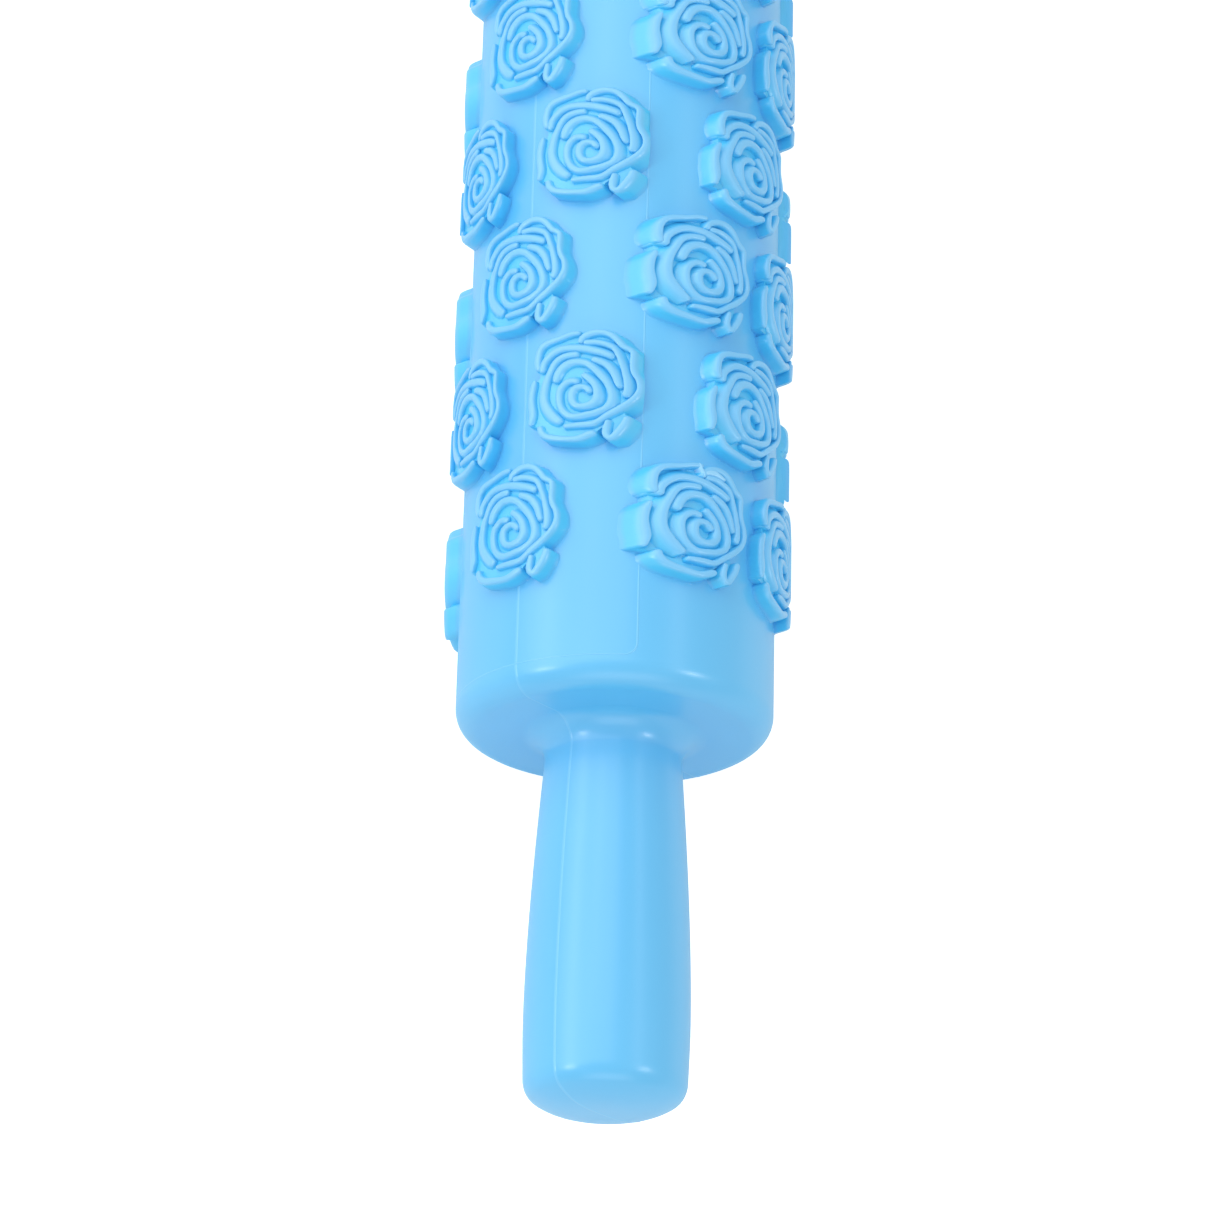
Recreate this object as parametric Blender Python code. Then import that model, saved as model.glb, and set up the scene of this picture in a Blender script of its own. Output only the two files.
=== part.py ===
"""Embossing roller: a hollow rolling pin made of two identical moulded half shells.

Metres, +Z up. X runs along the pin's axis, with the origin at the pin's centre.
Angles round the axis are counted from +Z towards +Y.
"""
import math

import bmesh
import bpy
from mathutils import Matrix, Vector

# Barrel
BARREL_RADIUS = 0.024
WALL = 0.0025
SHOULDER_ROUND = 0.0037

# Handles, moulded in one with the barrel
HANDLE_LENGTH = 0.0574
HANDLE_ROOT_RADIUS = 0.0103
HANDLE_SWELL = 0.002
ROOT_FILLET = 0.004
END_ROUND_LENGTH = 0.0048
END_ROUND_DEPTH = 0.0038
SWELL_SHARES = ((0.0, 0.0), (0.12, 0.23), (0.3, 0.53), (0.5, 0.8), (0.7, 0.97), (0.85, 1.0), (1.0, 0.9))

# Rows of roses, where a row is one ring round the barrel
ROWS = 12
ROW_STEP = 0.02064
END_MARGIN = 0.0246
SLIDE_SHIFT = 0.0006
COLUMN_ANGLE = math.radians(23.5)
QUARTER = math.radians(90.0)
SEAM_ANGLE = math.radians(-45.0)

# One rose, measured from its eye
ROSE_WIDTH = 0.0174
ROSE_GAP = 0.0013
ROSE_HEIGHT = 0.0025
WALL_DRAFT = 0.0004
PETALS = 5
NOTCH_SHARE = 0.88
EYE_SHARE = 0.08
GROOVE_DEPTH = 0.001
EYE_DEPTH = 0.0014
GROOVE_RING_SHARE = 0.72
BUD_RING_SHARE = 0.46
ROOT_DEPTH = 0.0006

# Joint between the half shells
SEAM_GAP = 0.0003
RIB_THICKNESS = 0.002
RIB_SETBACK = 0.0005
WEB_SETBACK = 0.001
RIBS = 6
BOSS_RADIUS = 0.0034
BOSS_SETBACK = 0.0002
BOSS_DEPTH = 0.006
PEG_RADIUS = 0.0018
PEG_LENGTH = 0.0032
PEG_CLEARANCE = 0.0003
SOCKET_FLOOR_CLEARANCE = 0.0004

# How finely round shapes are divided
BARREL_SIDES = 36
CORNER_STEPS = 3
PEG_SIDES = 8

# Places worked out from the sizes above
HALF_BARREL = END_MARGIN + (ROWS - 1) * ROW_STEP / 2
HALF_LENGTH = HALF_BARREL + HANDLE_LENGTH
BORE_RADIUS = BARREL_RADIUS - WALL
ROSE_LENGTH = ROW_STEP - ROSE_GAP
SEAM_OUT = Vector((0.0, math.sin(SEAM_ANGLE), math.cos(SEAM_ANGLE)))
SEAM_IN = Vector((0.0, SEAM_OUT.z, -SEAM_OUT.y))
BOSS_PLACE = BORE_RADIUS - BOSS_RADIUS + WALL / 3
RIB_REACH = BORE_RADIUS + WALL / 3
SEAM_FACE = SEAM_GAP / 2
RIB_FACE = SEAM_FACE + RIB_SETBACK
WEB_FACE = SEAM_FACE + WEB_SETBACK
BOSS_FACE = SEAM_FACE + BOSS_SETBACK
OVERRUN = BARREL_RADIUS

SKY_BLUE = (0.14, 0.50, 0.86, 1.0)


def clear_scene():
    """Take away whatever the file opened with."""
    for thing in list(bpy.data.objects):
        bpy.data.objects.remove(thing, do_unlink=True)


def plastic(name):
    """Satin sky blue food-safe plastic."""
    material = bpy.data.materials.new(name)
    material.use_nodes = True
    shader = material.node_tree.nodes["Principled BSDF"]
    shader.inputs["Base Color"].default_value = SKY_BLUE
    shader.inputs["Roughness"].default_value = 0.42
    shader.inputs["Metallic"].default_value = 0.0
    material.diffuse_color = SKY_BLUE
    return material


def new_object(name, bm, material=None):
    """Put a finished bmesh into the scene as a named object."""
    bmesh.ops.recalc_face_normals(bm, faces=bm.faces[:])
    mesh = bpy.data.meshes.new(name)
    bm.to_mesh(mesh)
    bm.free()
    thing = bpy.data.objects.new(name, mesh)
    if material:
        mesh.materials.append(material)
    bpy.context.scene.collection.objects.link(thing)
    return thing


def new_tool(name, bm):
    """A shape that only cuts or joins, so it stays out of the finished part."""
    tool = new_object(name, bm)
    tool.hide_render = True
    tool.display_type = "WIRE"
    return tool


def boolean(target, tool, operation):
    """Join or cut the target with a tool."""
    modifier = target.modifiers.new(operation.lower() + "_" + tool.name, "BOOLEAN")
    modifier.operation = operation
    modifier.solver = "EXACT"
    modifier.object = tool


def on_pin(x, radius, angle):
    """A point at a distance along the pin, a radius and an angle round it."""
    return Vector((x, radius * math.sin(angle), radius * math.cos(angle)))


def quarter_arc(centre_x, centre_r, length, depth, start):
    """Points of a quarter ellipse, from the start angle down by a right angle."""
    points = []
    for step in range(CORNER_STEPS + 1):
        angle = start - QUARTER * step / CORNER_STEPS
        points.append((centre_x + length * math.cos(angle), centre_r + depth * math.sin(angle)))
    return points


def handle_swell(inset):
    """Radii along the handle between its root fillet and its rounded end."""
    start = HALF_BARREL + ROOT_FILLET
    length = HANDLE_LENGTH - ROOT_FILLET - END_ROUND_LENGTH
    points = []
    for along, swell in SWELL_SHARES:
        points.append((start + length * along, HANDLE_ROOT_RADIUS + HANDLE_SWELL * swell - inset))
    return points


def outer_side():
    """Outline from the barrel's shoulder to the middle of the handle's end."""
    swell = handle_swell(0.0)
    end_radius = swell[-1][1]
    points = quarter_arc(HALF_BARREL - SHOULDER_ROUND, BARREL_RADIUS - SHOULDER_ROUND,
                         SHOULDER_ROUND, SHOULDER_ROUND, QUARTER)
    fillet = quarter_arc(HALF_BARREL + ROOT_FILLET, HANDLE_ROOT_RADIUS + ROOT_FILLET,
                         ROOT_FILLET, ROOT_FILLET, -QUARTER)
    points += reversed(fillet)
    points += swell[1:-1]
    points += quarter_arc(HALF_LENGTH - END_ROUND_LENGTH, end_radius - END_ROUND_DEPTH,
                          END_ROUND_LENGTH, END_ROUND_DEPTH, QUARTER)
    points.append((HALF_LENGTH, 0.0))
    return points


def inner_side():
    """Outline of the hollow, one wall inside the outer one."""
    swell = handle_swell(WALL)
    end_radius = swell[-1][1]
    points = [(HALF_BARREL - WALL, BORE_RADIUS)]
    points.append((HALF_BARREL - WALL, swell[0][1]))
    points += swell
    points.append((HALF_LENGTH - WALL, end_radius - END_ROUND_DEPTH + WALL))
    points.append((HALF_LENGTH - WALL, 0.0))
    return points


def turned(side):
    """A solid of revolution with the same outline at both ends."""
    bm = bmesh.new()
    outline = [(-x, r) for x, r in reversed(side)] + list(side)
    turn = SEAM_ANGLE + math.pi / BARREL_SIDES
    verts = [bm.verts.new(on_pin(x, r, turn)) for x, r in outline]
    edges = [bm.edges.new(pair) for pair in zip(verts, verts[1:])]
    bmesh.ops.spin(bm, geom=verts + edges, cent=(0.0, 0.0, 0.0), axis=(1.0, 0.0, 0.0),
                   angle=2 * math.pi, steps=BARREL_SIDES, use_merge=True)
    bmesh.ops.remove_doubles(bm, verts=bm.verts[:], dist=SEAM_GAP / 10)
    return bm


def loft(bm, rings):
    """Close a stack of equal rings of points into one solid, and return its last face."""
    loops = [[bm.verts.new(point) for point in ring] for ring in rings]
    for low, high in zip(loops, loops[1:]):
        for i in range(len(low)):
            j = (i + 1) % len(low)
            bm.faces.new((low[i], low[j], high[j], high[i]))
    bm.faces.new(list(reversed(loops[0])))
    return bm.faces.new(loops[-1])


def rose_places():
    """Eye, column angle and pull direction of each rose that this half shell carries."""
    places = []
    side_slide = SEAM_ANGLE
    main_pull = SEAM_ANGLE + QUARTER
    far_slide = SEAM_ANGLE + 2 * QUARTER
    for row in range(ROWS):
        x = HALF_BARREL - END_MARGIN - row * ROW_STEP
        if row % 2:
            places.append((x + SLIDE_SHIFT, side_slide + COLUMN_ANGLE, side_slide))
            places.append((x - SLIDE_SHIFT, main_pull, main_pull))
            places.append((x + SLIDE_SHIFT, far_slide - COLUMN_ANGLE, far_slide))
        else:
            places.append((x + SLIDE_SHIFT, side_slide, side_slide))
            places.append((x - SLIDE_SHIFT, main_pull - COLUMN_ANGLE, main_pull))
            places.append((x - SLIDE_SHIFT, main_pull + COLUMN_ANGLE, main_pull))
            places.append((x + SLIDE_SHIFT, far_slide, far_slide))
    return places


def on_rose(place, across, along, height):
    """A point of a rose, wrapped round the barrel at a height above it."""
    x, column, pull = place
    radius = BARREL_RADIUS + height
    return on_pin(x - along, radius, column + across / (BARREL_RADIUS + ROSE_HEIGHT))


def drop(point, place, depth):
    """The same point moved down the slide's pull direction by a radial depth."""
    pull = place[2]
    lean = math.atan2(point.y, point.z) - pull
    return point - on_pin(0.0, depth / math.cos(lean), pull)


def petal_ring(place, size_share, height, spread, turned_petals):
    """A scalloped ring of a rose: one high and one low point for each petal."""
    points = []
    for i in range(2 * PETALS):
        angle = math.pi * i / PETALS
        share = size_share * (1.0 if i % 2 == turned_petals else NOTCH_SHARE)
        across = (ROSE_WIDTH / 2 * share + spread) * math.cos(angle)
        along = (ROSE_LENGTH / 2 * share + spread) * math.sin(angle) + EYE_SHARE * ROSE_LENGTH
        points.append(on_rose(place, across, along, height))
    return points


def roses():
    """Roses with walls that follow the slides, a ring of petals, a groove and a bud with its eye."""
    bm = bmesh.new()
    for place in rose_places():
        wide = petal_ring(place, 1.0, ROSE_HEIGHT, WALL_DRAFT, 1)
        foot = [drop(point, place, ROSE_HEIGHT + ROOT_DEPTH) for point in wide]
        rim = petal_ring(place, 1.0, ROSE_HEIGHT, 0.0, 1)
        groove = petal_ring(place, GROOVE_RING_SHARE, ROSE_HEIGHT - GROOVE_DEPTH, 0.0, 1)
        bud = petal_ring(place, BUD_RING_SHARE, ROSE_HEIGHT, 0.0, 0)
        top = loft(bm, [foot, rim, groove, bud])
        eye = bmesh.ops.poke(bm, faces=[top])["verts"][0]
        eye.co = on_rose(place, 0.0, EYE_SHARE * ROSE_LENGTH, ROSE_HEIGHT - EYE_DEPTH)
    return bm


def box(bm, low, high, turn):
    """A box between two corners, turned about the pin's axis."""
    size = Vector(high) - Vector(low)
    middle = (Vector(high) + Vector(low)) / 2
    place = Matrix.Rotation(turn, 4, "X") @ Matrix.Translation(middle) @ Matrix.Diagonal(size.to_4d())
    bmesh.ops.create_cube(bm, size=1.0, matrix=place)


def rib_places():
    """Distances along the pin of the cross ribs."""
    bay = 2 * HALF_BARREL / (RIBS + 1)
    return [-HALF_BARREL + bay * (i + 1) for i in range(RIBS)]


def cross_ribs():
    """Half discs across the barrel, set a little back from the seam."""
    bm = bmesh.new()
    turns = [SEAM_ANGLE + math.pi * (i + 0.5) / BARREL_SIDES for i in range(BARREL_SIDES)]
    edge = math.sqrt(RIB_REACH ** 2 - RIB_FACE ** 2)
    for x in rib_places():
        rings = []
        for side in (x - RIB_THICKNESS / 2, x + RIB_THICKNESS / 2):
            axis = Vector((side, 0.0, 0.0)) + SEAM_IN * RIB_FACE
            ring = [axis + SEAM_OUT * edge]
            ring += [on_pin(side, RIB_REACH, turn) for turn in turns[1:-1:2]]
            ring.append(axis - SEAM_OUT * edge)
            rings.append(ring)
        loft(bm, rings)
    return bm


def long_web():
    """Plate along the barrel, square to the seam, from the axis out to the wall."""
    bm = bmesh.new()
    low = (-HALF_BARREL + WALL / 2, -RIB_THICKNESS / 2, WEB_FACE)
    high = (HALF_BARREL - WALL / 2, RIB_THICKNESS / 2, RIB_REACH)
    box(bm, low, high, -(SEAM_ANGLE + QUARTER))
    return bm


def rods(radius, side, low, high):
    """Rods square to the seam, one at each rib, on one side of the pin."""
    bm = bmesh.new()
    turn = Vector((0.0, 0.0, 1.0)).rotation_difference(SEAM_IN).to_matrix().to_4x4()
    for x in rib_places():
        middle = Vector((x, 0.0, 0.0)) + SEAM_OUT * BOSS_PLACE * side + SEAM_IN * (low + high) / 2
        bmesh.ops.create_cone(bm, cap_ends=True, segments=PEG_SIDES, radius1=radius, radius2=radius,
                              depth=high - low, matrix=Matrix.Translation(middle) @ turn)
    return bm


def other_half():
    """Everything on the far side of the seam, with half of its gap."""
    bm = bmesh.new()
    reach = BARREL_RADIUS + ROSE_HEIGHT + OVERRUN
    low = (-HALF_LENGTH - OVERRUN, -reach, -reach)
    high = (HALF_LENGTH + OVERRUN, reach, SEAM_FACE)
    box(bm, low, high, -(SEAM_ANGLE + QUARTER))
    return bm


def applied(thing, tools):
    """Run the tools on a thing in turn, and keep only the result."""
    for operation, tool in tools:
        boolean(thing, tool, operation)
    mesh = bpy.data.meshes.new_from_object(thing.evaluated_get(bpy.context.evaluated_depsgraph_get()))
    thing.modifiers.clear()
    thing.data = mesh
    for operation, tool in tools:
        bpy.data.objects.remove(tool, do_unlink=True)
    return thing


def removed_space():
    """Space cut from the solid pin: its hollow and its other half, less the ribs, bosses and pegs."""
    space = new_tool("removed_space", other_half())
    socket_depth = SEAM_FACE + PEG_LENGTH + SOCKET_FLOOR_CLEARANCE
    tools = [
        ("UNION", new_tool("hollow", turned(inner_side()))),
        ("DIFFERENCE", new_tool("long_web", long_web())),
        ("DIFFERENCE", new_tool("cross_ribs", cross_ribs())),
        ("DIFFERENCE", new_tool("peg_bosses", rods(BOSS_RADIUS, 1, BOSS_FACE, BOSS_DEPTH))),
        ("DIFFERENCE", new_tool("socket_bosses", rods(BOSS_RADIUS, -1, BOSS_FACE, BOSS_DEPTH))),
        ("UNION", new_tool("sockets", rods(PEG_RADIUS + PEG_CLEARANCE, -1, -SEAM_GAP, socket_depth))),
        ("DIFFERENCE", new_tool("pegs", rods(PEG_RADIUS, 1, -PEG_LENGTH, BOSS_DEPTH / 2))),
    ]
    return applied(space, tools)


def half_shell():
    """One half shell: turned wall, roses, ribs, pegs on one edge and sockets on the other."""
    shell = new_object("right_half_shell", turned(outer_side()), plastic("sky_blue_plastic"))
    applied(shell, [("UNION", new_tool("roses", roses())), ("DIFFERENCE", removed_space())])
    shell.data.name = "half_shell"
    shell.data.shade_smooth()
    shell.data.set_sharp_from_angle(angle=math.radians(30.0))
    return shell


def build():
    """Both half shells, the second one half a turn round the pin's axis."""
    clear_scene()
    right = half_shell()
    left = bpy.data.objects.new("left_half_shell", right.data)
    left.rotation_euler = (math.pi, 0.0, 0.0)
    bpy.context.scene.collection.objects.link(left)


build()
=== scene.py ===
"""Looks of the embossing roller, built round its packed half shells.

Metres, +Z up, in the part's own frame: X runs along the pin towards the photographed handle.
Angles round the pin are counted from +Z towards +Y. A slide's pull is the angle at which it leaves
the pin: the two side slides pull in line with the seam, and the two main ones square to it.
"""
import math

import bmesh
import bpy
from mathutils import Matrix, Vector


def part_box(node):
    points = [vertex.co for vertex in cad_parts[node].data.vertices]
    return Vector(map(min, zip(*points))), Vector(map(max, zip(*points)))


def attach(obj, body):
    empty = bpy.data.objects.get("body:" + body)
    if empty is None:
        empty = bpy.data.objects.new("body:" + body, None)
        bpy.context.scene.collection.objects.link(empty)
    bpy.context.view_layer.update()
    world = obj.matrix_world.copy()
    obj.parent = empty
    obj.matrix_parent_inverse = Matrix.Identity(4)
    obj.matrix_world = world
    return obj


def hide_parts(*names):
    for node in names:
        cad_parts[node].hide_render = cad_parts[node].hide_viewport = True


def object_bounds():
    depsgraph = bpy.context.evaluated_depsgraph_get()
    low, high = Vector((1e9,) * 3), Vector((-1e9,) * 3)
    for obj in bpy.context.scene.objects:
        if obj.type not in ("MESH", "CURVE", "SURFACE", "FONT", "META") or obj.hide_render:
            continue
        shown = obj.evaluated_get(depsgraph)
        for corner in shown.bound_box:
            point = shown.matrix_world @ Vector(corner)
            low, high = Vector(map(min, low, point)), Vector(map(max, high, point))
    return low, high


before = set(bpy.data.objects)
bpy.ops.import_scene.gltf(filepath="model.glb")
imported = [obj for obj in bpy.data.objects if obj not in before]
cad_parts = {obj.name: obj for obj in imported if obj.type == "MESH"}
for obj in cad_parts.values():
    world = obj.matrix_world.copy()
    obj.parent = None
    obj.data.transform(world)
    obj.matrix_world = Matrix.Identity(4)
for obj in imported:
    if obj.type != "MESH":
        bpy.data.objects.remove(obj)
CAD_BOX = [list(corner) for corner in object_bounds()]

MILLIMETRE = 0.001
QUARTER = math.radians(90.0)
PIN_CENTRE = (0.0, 0.0, 0.0)

# Barrel
BARREL_RADIUS = 0.024
WALL = 0.0025
SHOULDER_ROUND = 0.0037

# Handles: a fillet at the root, a slight swell, a rounded rim and a shallow crown on the end
HANDLE_LENGTH = 0.0574
HANDLE_ROOT_RADIUS = 0.0103
HANDLE_SWELL = 0.002
ROOT_FILLET = 0.004
END_ROUND_LENGTH = 0.0034
END_ROUND_DEPTH = 0.0027
END_SETBACK = 0.0007
END_CROWN = 0.002
END_CROWN_POWER = 3.4

# Shares of the handle's free length and of its swell, and shares of the rim's radius over the crown
SWELL_SHARES = ((0.0, 0.0), (0.12, 0.23), (0.3, 0.53), (0.5, 0.8), (0.7, 0.97), (0.85, 1.0), (1.0, 0.9))
CROWN_SHARES = (0.93, 0.86, 0.78, 0.68, 0.56, 0.42, 0.26, 0.1, 0.0)

# Sides of the pin, as angles round it. The seam runs along its front and its back
FRONT = math.radians(-45.0)
RIGHT = FRONT + QUARTER
BACK = FRONT + 2 * QUARTER
LEFT = FRONT + 3 * QUARTER

# Reach of a side slide each way. The shells of one rose are cut a stagger apart, so no two cuts coincide
SLIDE_REACH = math.radians(45.0)
CUT_STAGGER = math.radians(0.02)

# Rings of roses, from the photographed end of the barrel. On each slide a ring holds one rose or two, in
# turns, at places across the slide's pull, and a single one is stretched across
RINGS = 12
RING_STEP = 0.02064
END_MARGIN = 0.02373
SIDE_SLIDE_SHIFT = 0.00022
SIDE_COLUMNS = (-0.01020, 0.00062, 0.01140)
MAIN_COLUMNS = (-0.00988, -0.00070, 0.00952)
MIDDLE_STRETCH = 1.055

# Heights over the barrel of a rose's petals and of the floor between them, its foot in the barrel, and
# the strips of the floor
ROSE_HEIGHT = 0.0025
SIDE_ROSE_FLOOR = 0.00175
MAIN_ROSE_FLOOR = 0.0014
FOOT_DEPTH = 0.0004
FLOOR_CUT = 0.0015
FLOOR_CUTS = 5

# Petal ridges, spread to more than their drawn width. Each side of a ridge is given in shares of half its
# width and of the rose's height
RIDGE_STEP = 0.00055
RIDGE_SPREAD = 1.2
FOOT_SHARE = -FOOT_DEPTH / ROSE_HEIGHT
STEEP_SHARES = ((0.5, 0.995), (0.82, 0.96), (1.05, 0.88), (1.22, 0.76), (1.32, 0.58), (1.4, FOOT_SHARE))
WALL_SHARES = STEEP_SHARES[:-1] + ((1.38, 0.22), (1.46, 0.08), (1.6, 0.0), (1.66, FOOT_SHARE))
RAMP_SHARES = (
    (0.5, 0.99), (0.85, 0.945), (1.15, 0.865), (1.45, 0.765), (1.8, 0.67), (2.3, 0.59),
    (2.35, FOOT_SHARE),
)
RIDGE_SIDES = {
    "bud": (STEEP_SHARES, RAMP_SHARES),
    "inner_petal": (STEEP_SHARES, RAMP_SHARES),
    "left_petal": (STEEP_SHARES, RAMP_SHARES),
    "right_outer_petal": (STEEP_SHARES, WALL_SHARES),
    "right_inner_petal": (RAMP_SHARES, STEEP_SHARES),
    "top_petal": (RAMP_SHARES, STEEP_SHARES),
    "top_left_petal": (WALL_SHARES, STEEP_SHARES),
    "right_short_petal": (RAMP_SHARES, STEEP_SHARES),
    "left_outer_petal": (STEEP_SHARES, WALL_SHARES),
    "bottom_petal": (STEEP_SHARES, WALL_SHARES),
    "leaf": (STEEP_SHARES, WALL_SHARES),
}

# Rounded end of a ridge: shares of half its width from the tip inwards, and of its width there, and
# how much lower it gets as it narrows
RIDGE_END_SHARES = ((0.0, 0.38), (0.2, 0.72), (0.6, 0.95))
RIDGE_END_DROP = 0.18

# Fine lines left by the weld and the mould: the seam's bead, and the line round a side slide's panel
SEAM_BEAD_WIDTH = 0.00045
SEAM_BEAD_HEIGHT = 0.000035
SLIDE_LINE_WIDTH = 0.0003
SLIDE_LINE_HEIGHT = 0.00006
BEAD_SECTION_SHARES = ((-1.3, -0.6), (-0.6, 0.8), (0.0, 1.0), (0.6, 0.8), (1.3, -0.6))
SLIDE_CORNER = 0.002
SLIDE_MARGIN = 0.0042

# Tints of the plastic, and how far up a rose its painted light turns: low down a painted glow, the
# saturated cyan that light through the plastic gives the grooves, and high up a painted sheen on the petal
# tops
SKY_BLUE_LOW = (0.105, 0.513, 0.89, 1.0)
SKY_BLUE_HIGH = (0.117, 0.538, 0.915, 1.0)
# Painted glow: the saturated cyan that light through the plastic gives a rose's grooves
GROOVE_GLOW_BLUE = (0.083, 0.59, 0.94, 1.0)
# Painted sheen that makes a rose's tops paler, and also the flash's own pale tone
TOP_SHEEN_AND_FLASH_BLUE = (0.177, 0.56, 0.915, 1.0)
WELD_BLUE = (0.175, 0.58, 0.93, 1.0)
FLASH_BLUE = (0.27, 0.65, 0.96, 1.0)
GROOVE_GLOW_SHARES = (0.08, 0.3)
TOP_SHEEN_SHARES = (0.7, 1.0)

# Sheen, clouding and fine skin of the plastic
PLASTIC_IOR = 1.5
PLASTIC_SPECULAR = 1.0
SATIN_LOW = 0.27
SATIN_HIGH = 0.34
CLOUD_SCALE = 45.0
CLOUD_DETAIL = 3.0
SKIN_SCALE = 1400.0
SKIN_DETAIL = 2.0
SKIN_STRENGTH = 0.12
SKIN_DEPTH = 0.00004

# White ground, the glow that only the camera sees on it, and its reach each way
GROUND_WHITE = (0.9, 0.9, 0.9, 1.0)
GROUND_GLOW = 0.62
GROUND_REACH = 6.0

# Soft lamps: degrees round the pin, distance from its axis, place along it, size along and across it,
# and power
LAMPS = {
    "left_softbox": (-52.0, 1.0, -0.35, 1.35, 1.05, 3.8),
    "left_strip": (-57.0, 0.9, -0.1, 0.7, 0.16, 0.35),
    "left_lamp": (-58.0, 1.0, 0.33, 0.16, 0.12, 0.9),
    "right_strip": (36.0, 0.9, -0.1, 0.7, 0.12, 0.3),
    "right_lamp": (48.0, 1.0, 0.33, 0.16, 0.12, 0.9),
    "top_softbox": (-12.0, 1.1, -0.5, 1.3, 0.7, 2.4),
    "front_softbox": (0.0, 0.45, 1.0, 0.6, 0.8, 1.3),
}
LAMP_TARGET = Vector((0.1, 0.0, 0.0))

# Pale world, at its level for the pin and at the level that the camera sees
WORLD_WHITE = (1.0, 1.0, 1.0, 1.0)
WORLD_LEVEL = 0.67
WORLD_SEEN_LEVEL = 1.0

# Camera at the photograph's view, with its lens in millimetres and its turns in degrees
SENSOR_WIDTH = 36.0
FOCAL_LENGTH = 120.07
CAMERA_PLACE = (0.34887, -0.07329, 0.56774)
CAMERA_TURNS = (21.879, -7.76, 91.4)

# How finely round shapes are divided
HALF_TURN_STEPS = 96
CORNER_STEPS = 10
CORNER_STEPS_UNDER_CROWN = 3
SWELL_STEPS = 28
HOLLOW_STRIDE = 4
SPAN_STEPS = 12
SLIDE_CORNER_STEPS = 6
SLIDE_END_STEPS = 16

# Distances under which points are one, and the angle past which an edge is sharp
MERGE_DISTANCE = 1e-6
CUT_DISTANCE = 1e-7
LEAST_SPAN = 1e-9
SHARP_ANGLE = math.radians(50.0)

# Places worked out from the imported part
HALF_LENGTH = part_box("right_half_shell")[1].x
HALF_BARREL = HALF_LENGTH - HANDLE_LENGTH
FLOOR_LEVEL = CAD_BOX[0][2]

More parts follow.
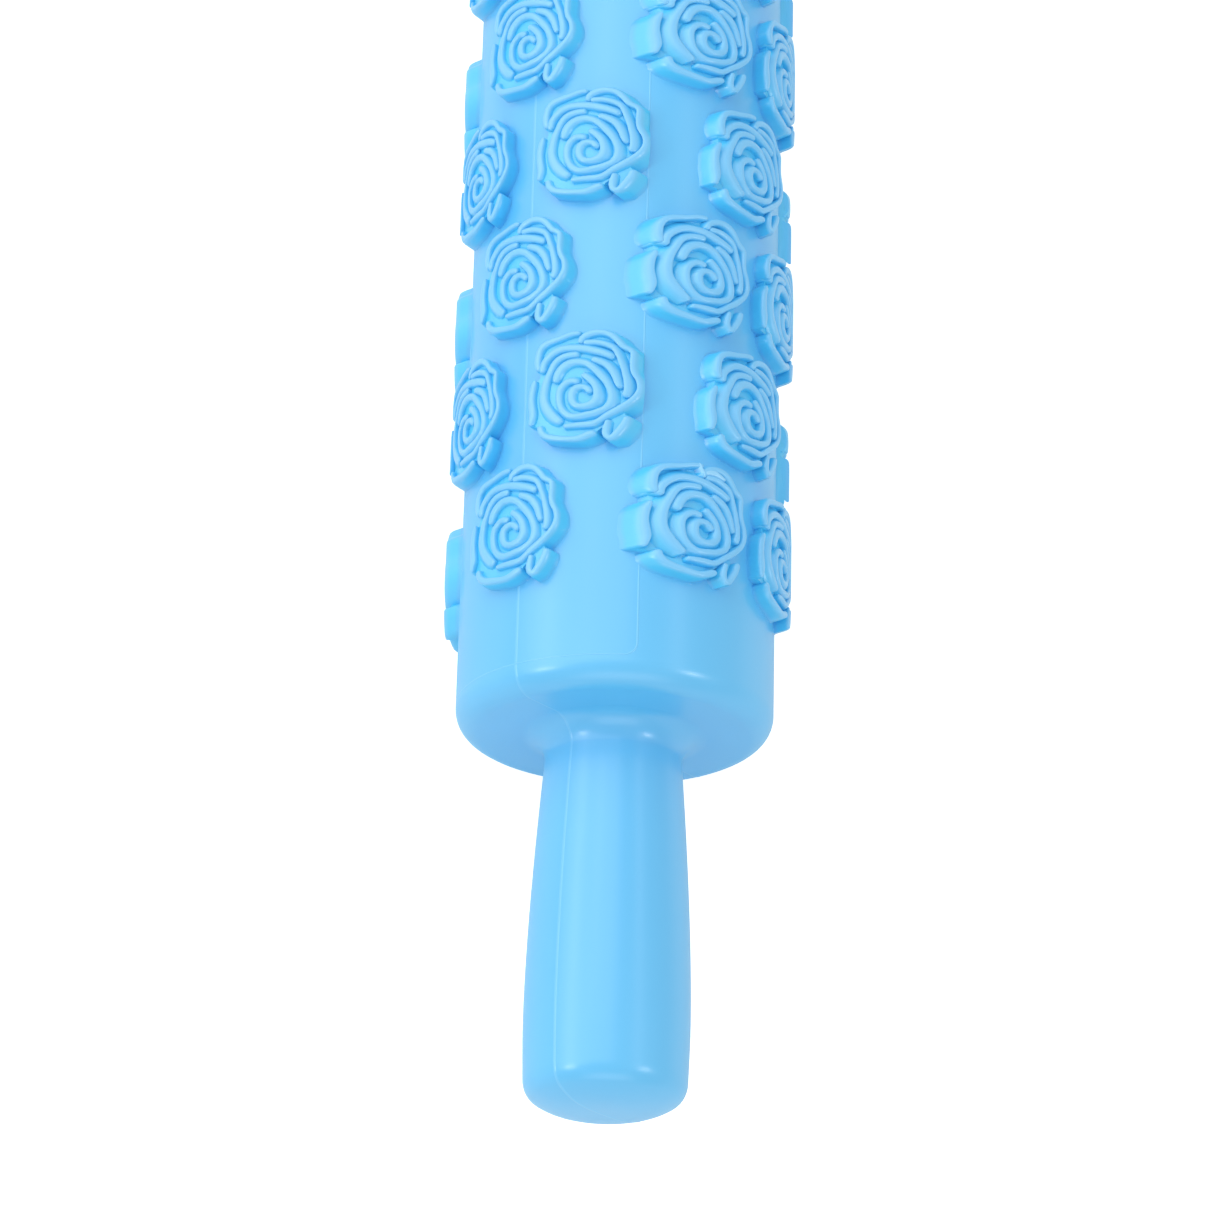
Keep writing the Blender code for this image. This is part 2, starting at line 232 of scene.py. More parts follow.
# Petal lines of one rose in millimetres, drawn in the plane square to the slide's pull: the place
# across, the place along the pin away from the photographed handle, and the ridge's width
PETAL_LINES = {
    "bud": (
        (0.4, 1.35, 0.75), (0.0, 1.85, 0.8), (-0.65, 2.13, 0.75), (-1.4, 2.02, 0.85), (-1.93, 1.6, 0.9),
        (-2.12, 0.8, 0.95), (-2.02, -0.05, 0.9), (-1.6, -0.75, 0.85), (-0.85, -1.1, 0.8),
        (-0.05, -1.1, 0.85), (0.85, -0.75, 0.95), (1.38, -0.05, 1.0), (1.5, 0.7, 0.95), (1.38, 1.55, 0.85),
        (1.08, 2.4, 0.85), (0.57, 3.1, 0.85), (0.0, 3.68, 0.8), (-0.3, 3.93, 0.8),
    ),
    "inner_petal": (
        (-1.5, 3.05, 0.8), (-2.26, 3.25, 0.8), (-3.0, 2.95, 0.8), (-3.6, 2.35, 0.8), (-3.95, 1.6, 0.8),
        (-4.0, 0.7, 0.8), (-3.9, -0.2, 0.8), (-3.62, -1.1, 0.8), (-3.15, -1.85, 0.85), (-2.5, -2.4, 0.85),
        (-1.7, -2.7, 0.8), (-0.8, -2.7, 0.8), (0.2, -2.5, 0.8), (1.1, -2.35, 0.8), (1.95, -2.0, 0.8),
        (2.7, -1.55, 0.8), (3.2, -0.85, 0.85), (3.38, 0.0, 0.8), (3.32, 0.9, 0.8), (3.0, 1.9, 0.8),
        (2.5, 2.95, 0.85), (1.76, 4.0, 0.9), (0.95, 5.0, 0.85), (0.1, 5.8, 0.85), (-0.9, 6.2, 0.9),
        (-1.9, 6.27, 0.95), (-2.85, 6.02, 1.0), (-3.72, 5.38, 1.05), (-4.25, 4.55, 1.05), (-4.5, 3.7, 0.9),
    ),
    "left_petal": (
        (-1.65, 7.5, 0.8), (-2.6, 7.5, 0.8), (-3.6, 7.3, 0.8), (-4.45, 6.8, 0.8), (-5.05, 6.0, 0.8),
        (-5.45, 5.1, 0.8), (-5.87, 4.2, 0.85), (-6.2, 3.2, 0.9), (-6.43, 2.1, 1.0), (-6.47, 1.0, 1.05),
        (-6.27, -0.05, 1.1), (-5.8, -1.05, 1.2), (-5.15, -1.95, 1.2), (-4.4, -2.75, 1.1),
        (-3.9, -3.15, 0.95),
    ),
    "right_outer_petal": (
        (-2.8, -4.2, 0.6), (-1.5, -4.15, 0.75), (0.0, -4.15, 0.8), (0.95, -4.1, 0.75), (1.9, -3.55, 0.7),
        (2.9, -2.7, 0.75), (3.9, -2.0, 0.8), (4.9, -1.15, 0.75), (5.8, -0.25, 0.7), (6.4, 0.7, 0.65),
        (6.65, 1.6, 0.6), (6.62, 2.4, 0.6), (6.42, 3.2, 0.6), (6.0, 4.1, 0.65), (5.8, 5.0, 0.6),
        (5.78, 6.0, 0.6), (5.82, 7.0, 0.6), (5.75, 7.75, 0.65), (5.2, 8.15, 0.7), (4.55, 8.6, 0.75),
        (4.05, 9.35, 0.75), (3.5, 10.05, 0.8), (2.85, 10.6, 0.8), (1.8, 10.95, 0.8), (0.7, 10.9, 0.8),
        (-0.3, 10.5, 0.8), (-0.85, 10.0, 0.75), (-0.95, 9.6, 0.7),
    ),
    "right_inner_petal": (
        (-0.15, 9.35, 0.75), (1.0, 9.35, 0.75), (2.0, 9.1, 0.75), (2.9, 8.7, 0.75), (3.55, 8.2, 0.7),
        (3.95, 7.4, 0.65), (4.2, 6.65, 0.6), (4.5, 5.7, 0.65), (4.75, 4.9, 0.65), (4.95, 3.9, 0.7),
        (5.15, 3.0, 0.75), (5.22, 2.0, 0.75), (5.2, 1.1, 0.75), (5.05, 0.6, 0.75),
    ),
    "top_petal": (
        (-6.75, 5.65, 0.8), (-6.65, 6.5, 0.85), (-6.2, 7.2, 0.85), (-5.65, 7.75, 0.85), (-4.9, 8.3, 0.85),
        (-3.9, 8.65, 0.9), (-3.0, 8.7, 0.9), (-2.0, 8.65, 0.95), (-1.0, 8.5, 0.95), (0.0, 8.25, 0.95),
        (1.0, 7.9, 0.95), (2.0, 7.55, 0.9), (2.8, 7.15, 0.85), (3.1, 6.95, 0.8),
    ),
    "top_left_petal": (
        (-7.4, 5.95, 0.7), (-7.6, 6.6, 0.85), (-7.6, 7.4, 0.85), (-7.5, 8.3, 0.8), (-7.2, 9.1, 0.8),
        (-6.6, 9.75, 0.8), (-5.7, 10.1, 0.75), (-4.7, 10.3, 0.7), (-3.8, 10.5, 0.65), (-2.9, 10.8, 0.65),
        (-2.0, 11.0, 0.65), (-1.35, 11.0, 0.6),
    ),
    "right_short_petal": (
        (1.0, 6.45, 0.8), (1.85, 6.05, 0.85), (2.65, 5.5, 0.85), (3.3, 4.6, 0.85), (3.75, 3.6, 0.8),
        (4.0, 2.7, 0.75), (4.25, 2.0, 0.65),
    ),
    "left_outer_petal": (
        (-7.95, 3.85, 0.5), (-8.15, 3.3, 0.75), (-8.4, 2.4, 0.85), (-8.5, 1.0, 0.85), (-8.4, -0.2, 0.95),
        (-8.22, -1.4, 0.95), (-8.3, -2.2, 0.8), (-8.45, -2.9, 0.6),
    ),
    "bottom_petal": (
        (-6.85, -3.95, 0.8), (-6.65, -4.65, 0.85), (-6.0, -5.3, 0.85), (-5.0, -5.75, 0.8),
        (-4.0, -6.0, 0.8), (-3.0, -6.2, 0.75), (-2.0, -6.35, 0.75), (-1.0, -6.35, 0.8),
        (0.0, -6.0, 0.85), (0.6, -5.7, 0.85), (1.0, -5.6, 0.75),
    ),
    "leaf": (
        (2.95, -3.85, 0.6), (2.8, -4.6, 0.72), (2.68, -5.3, 0.78), (2.75, -5.95, 0.8), (3.0, -6.38, 0.8),
        (3.42, -6.48, 0.8), (3.8, -6.12, 0.8), (4.25, -5.45, 0.82), (4.7, -4.72, 0.8), (5.05, -4.0, 0.78),
        (5.25, -3.3, 0.72),
    ),
}

# Moulding flash on one rose of the right half, drawn the same way, and its rise over the petals
FLASH_LINES = (
    ((-1.75, 11.25, 0.22), (-1.5, 10.7, 0.3), (-1.2, 10.2, 0.32), (-1.0, 9.75, 0.26), (-0.95, 9.5, 0.2)),
    ((-0.55, 10.0, 0.6), (0.1, 10.25, 0.8), (0.9, 10.25, 0.75), (1.7, 10.0, 0.6), (2.4, 9.7, 0.4)),
)
FLASH_RISE_SHARE = 1.02

# Outline of the sunken floor between the petals in millimetres, kept under the outer ridges
FLOOR_OUTLINE = (
    (-7.5, 6.3), (-7.55, 8.0), (-7.1, 9.2), (-6.2, 10.0), (-5.0, 10.3), (-4.0, 10.5), (-3.0, 10.8),
    (-1.9, 11.0), (-1.3, 11.0), (-0.95, 10.2), (-0.3, 10.5), (0.7, 10.9), (1.8, 10.95), (2.85, 10.6),
    (3.5, 10.05), (4.05, 9.35), (4.6, 8.6), (5.75, 7.8), (5.8, 6.0), (5.85, 4.9), (6.3, 3.5), (6.6, 2.2),
    (6.5, 1.2), (5.8, -0.2), (4.9, -1.1), (4.5, -2.0), (5.0, -2.9), (5.25, -3.3), (5.05, -4.0),
    (4.7, -4.65), (4.2, -5.3), (3.6, -5.85), (3.1, -6.4), (2.7, -5.9), (2.65, -5.3), (2.6, -4.6),
    (2.3, -4.2), (1.5, -4.9), (1.0, -5.6), (0.0, -6.0), (-1.0, -6.35), (-2.0, -6.35), (-4.0, -6.0),
    (-5.0, -5.75), (-6.0, -5.3), (-6.65, -4.65), (-6.85, -3.95), (-7.5, -3.4), (-8.8, -3.2),
    (-8.5, -2.4), (-8.2, -1.5), (-8.5, -0.2), (-8.55, 1.0), (-8.5, 2.5), (-8.35, 3.7), (-7.4, 4.6),
)


def on_pin(x, radius, angle):
    """A point at a distance along the pin, a radius and an angle round it."""
    return Vector((x, radius * math.sin(angle), radius * math.cos(angle)))


def smooth_line(points, step):
    """Even stations along a smooth curve through given points."""
    ends = [points[0] * 2 - points[1]] + points + [points[-1] * 2 - points[-2]]
    fine = []
    for before, start, stop, after in zip(ends, ends[1:], ends[2:], ends[3:]):
        for i in range(SPAN_STEPS):
            t = i / SPAN_STEPS
            fine.append(0.5 * (2 * start + (stop - before) * t
                               + (2 * before - 5 * start + 4 * stop - after) * t ** 2
                               + (3 * start - before - 3 * stop + after) * t ** 3))
    fine.append(points[-1])
    lengths = [0.0]
    for a, b in zip(fine, fine[1:]):
        lengths.append(lengths[-1] + (b - a).length)
    count = max(2, round(lengths[-1] / step))
    return [at_length(fine, lengths, lengths[-1] * i / count) for i in range(count + 1)]


def at_length(fine, lengths, distance):
    """The point at a distance along a fine line."""
    for a, b, low, high in zip(fine, fine[1:], lengths, lengths[1:]):
        if distance <= high:
            return a.lerp(b, (distance - low) / max(high - low, LEAST_SPAN))
    return fine[-1].copy()


def neighbours(points, i):
    """The points before and after one of an open line, or that point itself past an end."""
    return points[max(i - 1, 0)], points[min(i + 1, len(points) - 1)]


def whole(bm):
    """All that a bmesh holds, for a cut through it."""
    return bm.verts[:] + bm.edges[:] + bm.faces[:]


def of_kind(made, kind):
    """The vertices or the edges among what an operator made."""
    return [item for item in made if isinstance(item, kind)]


def turned_outward(bm):
    """Turn the faces of one closed shell outward."""
    bmesh.ops.recalc_face_normals(bm, faces=bm.faces[:])
    if bm.calc_volume(signed=True) < 0.0:
        bmesh.ops.reverse_faces(bm, faces=bm.faces[:])
    return bm


def as_mesh(bm, name):
    """Turn a bmesh into a mesh."""
    mesh = bpy.data.meshes.new(name)
    bm.to_mesh(mesh)
    bm.free()
    return mesh


def add_shell(bm, shell):
    """Add a closed shell to those that a bmesh holds."""
    mesh = as_mesh(shell, "added_shell")
    bm.from_mesh(mesh)
    bpy.data.meshes.remove(mesh)


def in_scene(name, data):
    """Put a mesh, a lamp or a camera into the scene as an object."""
    holder = bpy.data.objects.new(name, data)
    bpy.context.scene.collection.objects.link(holder)
    return holder


def finished(name, bm, material):
    """Make a bmesh a piece of the pin."""
    mesh = as_mesh(bm, name)
    mesh.shade_smooth()
    mesh.set_sharp_from_angle(angle=SHARP_ANGLE)
    mesh.materials.append(material)
    piece = in_scene(name, mesh)
    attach(piece, "root")
    return piece


def sweep(bm, section, places):
    """Carry a closed section of vertices through a row of places, and cap both ends."""
    verts = [bm.verts.new(point) for point in section]
    edges = [bm.edges.new(pair) for pair in zip(verts, verts[1:] + verts[:1])]
    bmesh.ops.transform(bm, matrix=places[0], verts=verts)
    bm.faces.new(verts)
    for before, place in zip(places, places[1:]):
        made = bmesh.ops.extrude_edge_only(bm, edges=edges)["geom"]
        edges = of_kind(made, bmesh.types.BMEdge)
        ring = of_kind(made, bmesh.types.BMVert)
        bmesh.ops.transform(bm, matrix=place @ before.inverted(), verts=ring)
    bmesh.ops.edgeloop_fill(bm, edges=edges)


# Smooth half bodies


def quarter_arc(centre_x, centre_radius, length, depth, start):
    """Points of a quarter ellipse, from the start angle down by a right angle."""
    points = []
    for step in range(CORNER_STEPS + 1):
        angle = start - QUARTER * step / CORNER_STEPS
        points.append((centre_x + length * math.cos(angle), centre_radius + depth * math.sin(angle)))
    return points


def handle_side(inset):
    """Smooth swell of the handle between its root fillet and its rounded rim."""
    start = HALF_BARREL + ROOT_FILLET
    length = HANDLE_LENGTH - ROOT_FILLET - END_ROUND_LENGTH - END_SETBACK
    points = []
    for along, swell in SWELL_SHARES:
        points.append(Vector((start + length * along, HANDLE_ROOT_RADIUS + HANDLE_SWELL * swell - inset)))
    return [tuple(point) for point in smooth_line(points, length / SWELL_STEPS)]


def outer_side():
    """Outline from the barrel's shoulder to the middle of the handle's end."""
    swell = handle_side(0.0)
    end_radius = swell[-1][1]
    points = quarter_arc(HALF_BARREL - SHOULDER_ROUND, BARREL_RADIUS - SHOULDER_ROUND,
                         SHOULDER_ROUND, SHOULDER_ROUND, QUARTER)
    fillet = quarter_arc(HALF_BARREL + ROOT_FILLET, HANDLE_ROOT_RADIUS + ROOT_FILLET,
                         ROOT_FILLET, ROOT_FILLET, -QUARTER)
    points += reversed(fillet)
    points += swell[1:-1]
    end_round = quarter_arc(HALF_LENGTH - END_SETBACK - END_ROUND_LENGTH, end_radius - END_ROUND_DEPTH,
                            END_ROUND_LENGTH, END_ROUND_DEPTH, QUARTER)
    points += end_round[:-CORNER_STEPS_UNDER_CROWN]
    rim_x, rim_radius = points[-1]
    for share in CROWN_SHARES:
        points.append((rim_x + END_CROWN * (1.0 - share ** END_CROWN_POWER), rim_radius * share))
    return points


def inner_side():
    """Outline of the hollow, one wall inside the outer one."""
    swell = handle_side(WALL)
    points = [(HALF_BARREL - WALL, BARREL_RADIUS - WALL)]
    points.append((HALF_BARREL - WALL, swell[0][1]))
    points += swell[::HOLLOW_STRIDE]
    points.append((HALF_LENGTH - WALL, swell[-1][1] - END_ROUND_DEPTH + WALL))
    points.append((HALF_LENGTH - WALL, 0.0))
    return points


def mirrored(side):
    """The same outline at both ends of the pin, from the far end to the near one."""
    return [(-x, radius) for x, radius in reversed(side)] + list(side)


def drawn(bm, outline, angle):
    """An outline as vertices at an angle round the pin, and the edges between them."""
    verts = [bm.verts.new(on_pin(x, radius, angle)) for x, radius in outline]
    edges = [bm.edges.new(pair) for pair in zip(verts, verts[1:])]
    return verts, edges


def half_body(name, node, seam, material):
    """One half shell as a smooth moulding, spun by half a turn from its seam."""
    bm = bmesh.new()
    outer, outer_edges = drawn(bm, mirrored(outer_side()), seam)
    inner, inner_edges = drawn(bm, mirrored(inner_side()), seam)
    end_edges = [bm.edges.new((outer[end], inner[end])) for end in (0, -1)]
    bmesh.ops.triangle_fill(bm, edges=outer_edges + inner_edges + end_edges, use_beauty=True)
    bmesh.ops.spin(bm, geom=outer_edges + inner_edges, cent=PIN_CENTRE, axis=(-1.0, 0.0, 0.0),
                   angle=math.pi, steps=HALF_TURN_STEPS)
    bmesh.ops.remove_doubles(bm, verts=bm.verts[:], dist=MERGE_DISTANCE)
    rim = [edge for edge in bm.edges if edge.is_boundary]
    bmesh.ops.triangle_fill(bm, edges=rim, use_beauty=True)
    bmesh.ops.dissolve_degenerate(bm, edges=bm.edges[:], dist=CUT_DISTANCE)
    piece = finished(name, turned_outward(bm), material)
    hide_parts(node)


# Roses


def is_side_slide(pull):
    """Whether a slide pulls in line with the seam, and not square to it."""
    turn = pull - FRONT
    return abs(math.cos(turn)) > abs(math.sin(turn))


def rose_places(pull):
    """Eye, column and stretch of each rose that one slide of the mould forms."""
    side_slide = is_side_slide(pull)
    left, middle, right = SIDE_COLUMNS if side_slide else MAIN_COLUMNS
    places = []
    for ring in range(RINGS):
        eye = HALF_BARREL - END_MARGIN - ring * RING_STEP
        if side_slide:
            eye += SIDE_SLIDE_SHIFT
        two_columns = (ring % 2 == 1) == side_slide
        if two_columns:
            places += [(eye, left, 1.0), (eye, right, 1.0)]
        else:
            places.append((eye, middle, MIDDLE_STRETCH))
    return places


def stations_of(line):
    """Even stations along a drawn line, each with its heading and the ridge's width there."""
    stations = smooth_line([Vector(point) * MILLIMETRE for point in line], RIDGE_STEP)
    spots = []
    for i, station in enumerate(stations):
        before, after = neighbours(stations, i)
        heading = (after - before).to_2d().normalized()
        spots.append((station.to_2d(), heading, station.z * RIDGE_SPREAD))
    return spots


def stood(spot, heading, size):
    """Stand a section up at a spot of the flat rose, square to its heading."""
    turn = math.atan2(-heading.x, heading.y)
    return Matrix.Translation(spot.to_3d()) @ Matrix.Rotation(turn, 4, "Z") @ Matrix.Diagonal(size)


def ridge_end(spot, heading, width, inward):
    """Places that round off one end of a ridge, from its tip inwards."""
    places = []
    for back, share in RIDGE_END_SHARES:
        tip = spot + heading * width * (back - 1.0) / 2 * inward
        rise = 1.0 - (1.0 - share) * RIDGE_END_DROP
        places.append(stood(tip, heading, (width * share, 1.0, rise, 1.0)))
    return places


def petal_ridge(line, left_shares, right_shares):
    """One petal edge: a round-shouldered ridge with its own slope on each side, swept along its line."""
    shares = [(-side, height) for side, height in reversed(left_shares)]
    shares += [(0.0, 1.0)]
    shares += right_shares
    section = [Vector((side / 2, 0.0, height * ROSE_HEIGHT)) for side, height in shares]
    spots = stations_of(line)
    places = ridge_end(*spots[0], 1.0)
    places += [stood(spot, heading, (width, 1.0, 1.0, 1.0)) for spot, heading, width in spots]
    places += reversed(ridge_end(*spots[-1], -1.0))
    bm = bmesh.new()
    sweep(bm, section, places)
    return turned_outward(bm)


def petal_floor(height):
    """Sunken floor between the petals, cut into strips so that it can follow the barrel."""
    bm = bmesh.new()
    foot = Vector((0.0, 0.0, -FOOT_DEPTH))
    outline = [Vector((across, along, 0.0)) * MILLIMETRE + foot for across, along in FLOOR_OUTLINE]
    base = bm.faces.new([bm.verts.new(point) for point in outline])
    made = bmesh.ops.extrude_face_region(bm, geom=[base])["geom"]
    top = of_kind(made, bmesh.types.BMVert)
    bmesh.ops.translate(bm, verts=top, vec=(0.0, 0.0, height + FOOT_DEPTH))
    for cut in range(-FLOOR_CUTS, FLOOR_CUTS):
        bmesh.ops.bisect_plane(bm, geom=whole(bm), dist=CUT_DISTANCE,
                               plane_co=(cut * FLOOR_CUT, 0.0, 0.0), plane_no=(1.0, 0.0, 0.0))
    return turned_outward(bm)


def flat_rose(floor_height):
    """Closed shells of one rose drawn flat, with its eye at the origin."""
    shells = [petal_floor(floor_height)]
    for name, line in PETAL_LINES.items():
        shells.append(petal_ridge(line, *RIDGE_SIDES[name]))
    return [as_mesh(shell, "rose_shell") for shell in shells]


def press_on(bm, place, pull):
    """Carry a flat shape along the slide's pull to its height over the barrel."""
    eye, column, stretch = place
    for vert in bm.verts:
        radius = BARREL_RADIUS + vert.co.z
        side = column + vert.co.x * stretch
        vert.co = on_pin(eye - vert.co.y, radius, pull + math.asin(side / radius))


def cut_at_panel(bm, pull, reach):
    """End a shell of a side slide's rose at the edges of its panel, and close the cut."""
    for side in (-1, 1):
        outward = on_pin(0.0, 1.0, pull + side * (reach + QUARTER))
        cut = bmesh.ops.bisect_plane(bm, geom=whole(bm), dist=CUT_DISTANCE, plane_co=PIN_CENTRE,
                                     plane_no=outward, clear_outer=True)["geom_cut"]
        rim = of_kind(cut, bmesh.types.BMEdge)
        if rim:
            bmesh.ops.holes_fill(bm, edges=rim, sides=0)
    turned_outward(bm)


def slide_roses(name, pull, rose, material):
    """The roses that one slide of the mould forms."""
    bm = bmesh.new()
    for place in rose_places(pull):
        for i, flat_shell in enumerate(rose):
            shell = bmesh.new()
            shell.from_mesh(flat_shell)
            press_on(shell, place, pull)
            if is_side_slide(pull):
                cut_at_panel(shell, pull, SLIDE_REACH - i * CUT_STAGGER)
            add_shell(bm, shell)
    finished(name, bm, material)


# Flash and lines left by the mould and the weld


def moulding_flash(name, pull, material):
    """Thin pale flash that bridges two petals of one rose beside the photographed handle."""
    bm = bmesh.new()
    for line in FLASH_LINES:
        add_shell(bm, petal_ridge(line, STEEP_SHARES, STEEP_SHARES))
    bmesh.ops.scale(bm, verts=bm.verts[:], vec=(1.0, 1.0, FLASH_RISE_SHARE))
    press_on(bm, rose_places(pull)[0], pull)
    finished(name, bm, material)


def bead_section(width, height):
    """Section of a fine raised line, with its foot in the plastic."""
    return [Vector((0.0, side * width / 2, rise * height)) for side, rise in BEAD_SECTION_SHARES]


def seam_bead(name, angle, material):
    """Fine raised line where the half shells are welded, along the outline at one side."""
    outline = [Vector((x, 0.0, radius)) for x, radius in mirrored(outer_side())]
    places = []
    for i, spot in enumerate(outline):
        before, after = neighbours(outline, i)
        heading = (after - before).normalized()
        tilt = math.atan2(-heading.z, heading.x)
        places.append(Matrix.Translation(spot) @ Matrix.Rotation(tilt, 4, "Y"))
    bm = bmesh.new()
    sweep(bm, bead_section(SEAM_BEAD_WIDTH, SEAM_BEAD_HEIGHT), places)
    bmesh.ops.rotate(bm, verts=bm.verts[:], matrix=Matrix.Rotation(-angle, 3, "X"))
    finished(name, turned_outward(bm), material)


def panel_path():
    """Edge of a side slide's panel, as distances along the pin and round the barrel."""
    reach_along = HALF_BARREL - SLIDE_MARGIN
    reach_round = SLIDE_REACH * BARREL_RADIUS
    corners = ((1, 1), (-1, 1), (-1, -1), (1, -1))
    path = []
    for k, (side_along, side_round) in enumerate(corners):
        for step in range(SLIDE_CORNER_STEPS + 1):
            turn = QUARTER * (k + step / SLIDE_CORNER_STEPS)
            path.append((side_along * (reach_along - SLIDE_CORNER) + SLIDE_CORNER * math.cos(turn),
                         side_round * (reach_round - SLIDE_CORNER) + SLIDE_CORNER * math.sin(turn)))
        next_along, next_round = corners[(k + 1) % len(corners)]
        if side_along == next_along:
            start = path[-1][1]
            stop = next_round * (reach_round - SLIDE_CORNER)
            for i in range(1, SLIDE_END_STEPS):
                path.append((side_along * reach_along, start + (stop - start) * i / SLIDE_END_STEPS))
    return path


def slide_line(name, pull, material):
    """Fine raised line round the panel that a side slide forms, with rounded corners."""
    path = panel_path()
    places = []
    for i, (along, around) in enumerate(path):
        before = path[i - 1]
        after = path[(i + 1) % len(path)]
        turn = math.atan2(after[1] - before[1], after[0] - before[0])
        angle = pull + around / BARREL_RADIUS
        places.append(Matrix.Translation(on_pin(along, BARREL_RADIUS, angle))
                      @ Matrix.Rotation(-angle, 4, "X") @ Matrix.Rotation(turn, 4, "Z"))
    bm = bmesh.new()
    sweep(bm, bead_section(SLIDE_LINE_WIDTH, SLIDE_LINE_HEIGHT), places + places[:1])
    finished(name, turned_outward(bm), material)


# Finish


def noise_on(tree, place, scale, detail):
    """Noise that is fixed to the piece."""
    noise = tree.nodes.new("ShaderNodeTexNoise")
    noise.inputs["Scale"].default_value = scale
    noise.inputs["Detail"].default_value = detail
    tree.links.new(place, noise.inputs["Vector"])
    return noise.outputs["Fac"]


def mapped(tree, value, ends):
    """A value mapped between ends, which are 0 and 1 where they aren't given."""
    node = tree.nodes.new("ShaderNodeMapRange")
    for socket, end in ends.items():
        node.inputs[socket].default_value = end
    tree.links.new(value, node.inputs["Value"])
    return node.outputs["Result"]


def turning_tint(tree, factor, tint):
    """A colour that turns to a tint as its factor rises, with its first colour still to be given."""
    mix = tree.nodes.new("ShaderNodeMix")
    mix.data_type = "RGBA"
    mix.inputs["B"].default_value = tint
    tree.links.new(factor, mix.inputs["Factor"])
    return mix


def distance_from_axis(tree, place):
    """How far a point lies from the pin's axis."""
    across = tree.nodes.new("ShaderNodeVectorMath")
    across.operation = "MULTIPLY"
    across.inputs[1].default_value = (0.0, 1.0, 1.0)
    tree.links.new(place, across.inputs[0])
    radius = tree.nodes.new("ShaderNodeVectorMath")
    radius.operation = "LENGTH"
    tree.links.new(across.outputs["Vector"], radius.inputs[0])
    return radius.outputs["Value"]


def sky_blue_plastic(name, low, high, groove_glow, top_sheen):
    """Satin plastic with slight clouding and a fine skin, with painted light by height on a rose: a
    painted glow of saturated cyan in the grooves and a painted sheen that makes the tops paler.
    """
    material = bpy.data.materials.new(name)
    material.use_nodes = True
    tree = material.node_tree
    shader = tree.nodes["Principled BSDF"]
    shader.inputs["Metallic"].default_value = 0.0
    shader.inputs["IOR"].default_value = PLASTIC_IOR
    shader.inputs["Specular IOR Level"].default_value = PLASTIC_SPECULAR
    place = tree.nodes.new("ShaderNodeTexCoord").outputs["Object"]
    cloud = noise_on(tree, place, CLOUD_SCALE, CLOUD_DETAIL)
    radius = distance_from_axis(tree, place)
    colour = turning_tint(tree, cloud, high)
    colour.inputs["A"].default_value = low
    # Painted light by height over the barrel: a saturated glow low in the grooves, then a pale sheen on
    # the petal tops
    for (start, stop), tint in ((GROOVE_GLOW_SHARES, groove_glow), (TOP_SHEEN_SHARES, top_sheen)):
        level = mapped(tree, radius, {"From Min": BARREL_RADIUS + ROSE_HEIGHT * start,
                                      "From Max": BARREL_RADIUS + ROSE_HEIGHT * stop})
        turned = turning_tint(tree, level, tint)
        tree.links.new(colour.outputs["Result"], turned.inputs["A"])
        colour = turned
    tree.links.new(colour.outputs["Result"], shader.inputs["Base Color"])
    satin = mapped(tree, cloud, {"To Min": SATIN_LOW, "To Max": SATIN_HIGH})
    tree.links.new(satin, shader.inputs["Roughness"])
    skin = noise_on(tree, place, SKIN_SCALE, SKIN_DETAIL)
    bump = tree.nodes.new("ShaderNodeBump")
    bump.inputs["Strength"].default_value = SKIN_STRENGTH
    bump.inputs["Distance"].default_value = SKIN_DEPTH
    tree.links.new(skin, bump.inputs["Height"])
    tree.links.new(bump.outputs["Normal"], shader.inputs["Normal"])
    return material


def white_ground():
    """White studio ground that keeps a faint shadow, and glows for the camera alone."""
    material = bpy.data.materials.new("white_ground")
    material.use_nodes = True
    nodes, links = material.node_tree.nodes, material.node_tree.links
    nodes.remove(nodes["Principled BSDF"])
    matte = nodes.new("ShaderNodeBsdfDiffuse")
    matte.inputs["Color"].default_value = GROUND_WHITE
    glow = nodes.new("ShaderNodeEmission")
    glow.inputs["Strength"].default_value = GROUND_GLOW
    both = nodes.new("ShaderNodeAddShader")
    seen = nodes.new("ShaderNodeLightPath")
    pick = nodes.new("ShaderNodeMixShader")
    links.new(matte.outputs["BSDF"], both.inputs[0])
    links.new(glow.outputs["Emission"], both.inputs[1])
    links.new(seen.outputs["Is Camera Ray"], pick.inputs["Fac"])
    links.new(matte.outputs["BSDF"], pick.inputs[1])
    links.new(both.outputs["Shader"], pick.inputs[2])
    links.new(pick.outputs["Shader"], nodes["Material Output"].inputs["Surface"])
    return material


# Studio


def ground():
    """Plain white floor under the pin."""
    bm = bmesh.new()
    bmesh.ops.create_grid(bm, x_segments=1, y_segments=1, size=GROUND_REACH)
    bmesh.ops.translate(bm, verts=bm.verts[:], vec=(0.0, 0.0, FLOOR_LEVEL))
    mesh = as_mesh(bm, "studio_floor")
    mesh.materials.append(white_ground())
    floor = in_scene("studio_floor", mesh)


def soft_lamp(name, degrees, distance, along, size_along, size_across, power):
    """Soft rectangular lamp, turned to the pin near its photographed end."""
    lamp = bpy.data.lights.new(name, "AREA")
    lamp.shape = "RECTANGLE"
    lamp.size = size_along
    lamp.size_y = size_across
    lamp.energy = power
    spot = on_pin(along, distance, math.radians(degrees))
    z = (spot - LAMP_TARGET).normalized()
    x = (Vector((1.0, 0.0, 0.0)) - z * z.x).normalized()
    y = z.cross(x)
    turn = Matrix((x, y, z)).transposed().to_4x4()
    in_scene(name, lamp).matrix_world = Matrix.Translation(spot) @ turn


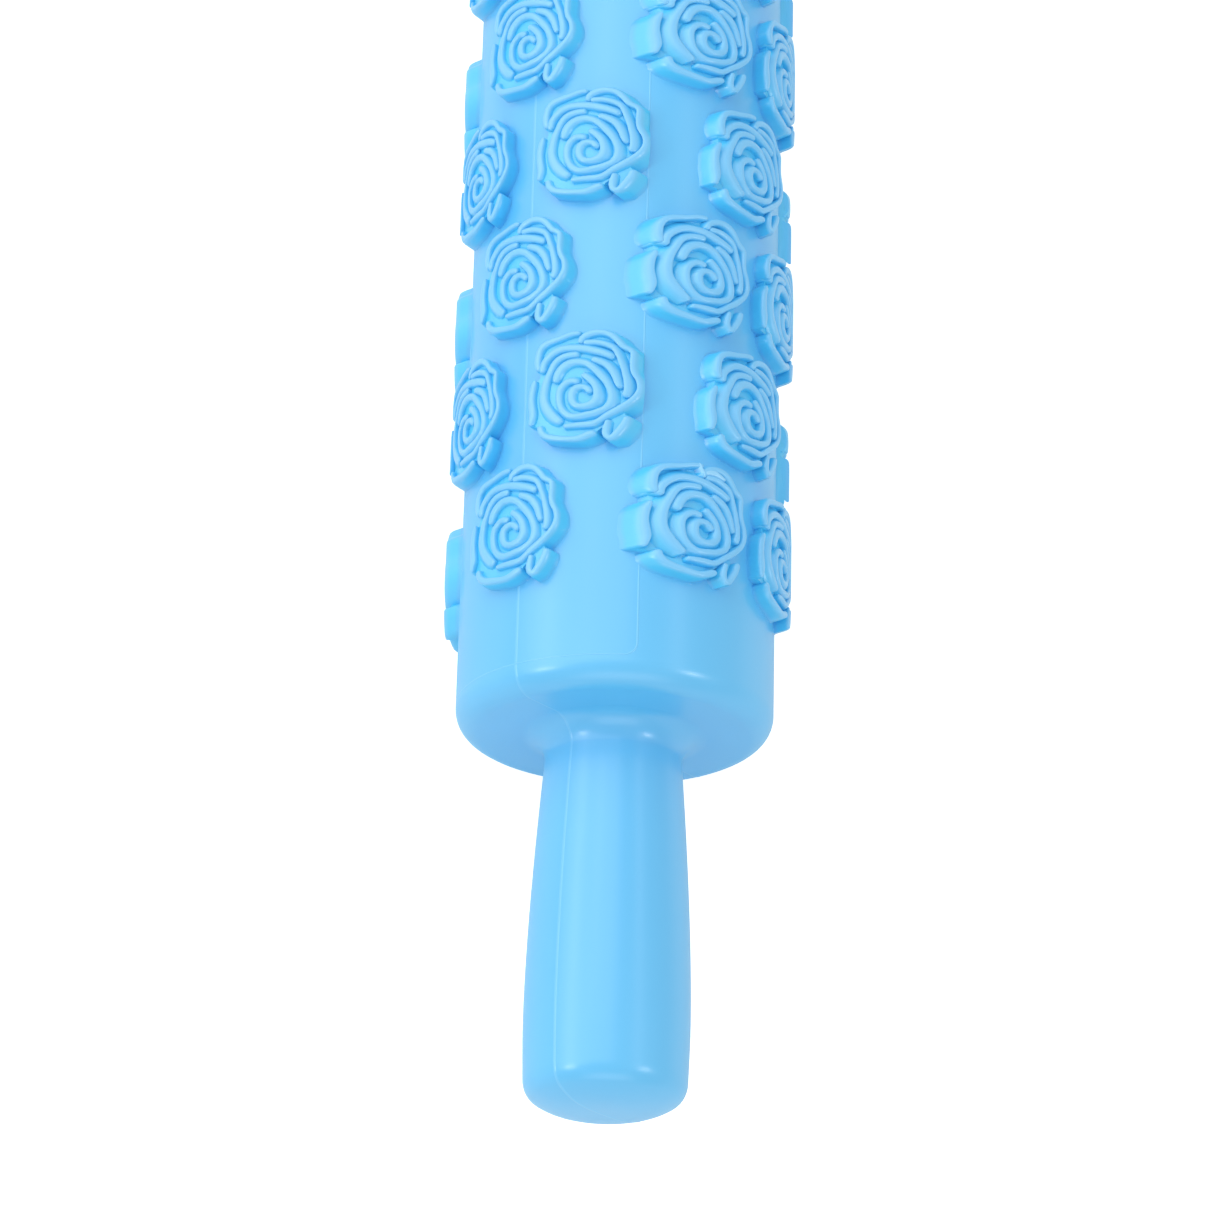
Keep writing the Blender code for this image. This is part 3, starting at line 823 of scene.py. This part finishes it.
def studio_light():
    """Soft lamps round the pin, and a plain pale world."""
    for name, setting in LAMPS.items():
        soft_lamp(name, *setting)
    world = bpy.data.worlds.new("pale_studio")
    bpy.context.scene.world = world
    world.use_nodes = True
    tree = world.node_tree
    sky = tree.nodes["Background"]
    sky.inputs["Color"].default_value = WORLD_WHITE
    seen = tree.nodes.new("ShaderNodeLightPath").outputs["Is Camera Ray"]
    level = mapped(tree, seen, {"To Min": WORLD_LEVEL, "To Max": WORLD_SEEN_LEVEL})
    tree.links.new(level, sky.inputs["Strength"])


def camera():
    """Camera at the photograph's viewing angle, above and beyond the near end of the pin."""
    lens = bpy.data.cameras.new("photo_camera")
    lens.sensor_width = SENSOR_WIDTH
    lens.lens = FOCAL_LENGTH
    holder = in_scene("photo_camera", lens)
    holder.location = CAMERA_PLACE
    holder.rotation_euler = [math.radians(turn) for turn in CAMERA_TURNS]
    bpy.context.scene.camera = holder


def build():
    """Dress the whole pin and its studio."""
    # The plastic carries painted light by height: a glow in the grooves and a sheen on the petal tops
    plastic = sky_blue_plastic("sky_blue_plastic_finish", SKY_BLUE_LOW, SKY_BLUE_HIGH, GROOVE_GLOW_BLUE,
                               TOP_SHEEN_AND_FLASH_BLUE)
    flash = sky_blue_plastic("moulding_flash_finish", TOP_SHEEN_AND_FLASH_BLUE, FLASH_BLUE, FLASH_BLUE, FLASH_BLUE)
    weld = sky_blue_plastic("weld_line_finish", SKY_BLUE_HIGH, WELD_BLUE, WELD_BLUE, WELD_BLUE)
    half_body("right_half_body", "right_half_shell", FRONT, plastic)
    half_body("left_half_body", "left_half_shell", BACK, plastic)
    side_rose = flat_rose(SIDE_ROSE_FLOOR)
    main_rose = flat_rose(MAIN_ROSE_FLOOR)
    slide_roses("front_slide_roses", FRONT, side_rose, plastic)
    slide_roses("right_half_roses", RIGHT, main_rose, plastic)
    slide_roses("back_slide_roses", BACK, side_rose, plastic)
    slide_roses("left_half_roses", LEFT, main_rose, plastic)
    for flat_shell in side_rose + main_rose:
        bpy.data.meshes.remove(flat_shell)
    moulding_flash("moulding_flash", RIGHT, flash)
    seam_bead("front_seam_bead", FRONT, weld)
    seam_bead("back_seam_bead", BACK, weld)
    slide_line("front_slide_line", FRONT, weld)
    slide_line("back_slide_line", BACK, weld)
    ground()
    studio_light()
    camera()


build()
bpy.context.scene.view_settings.view_transform = "Standard"
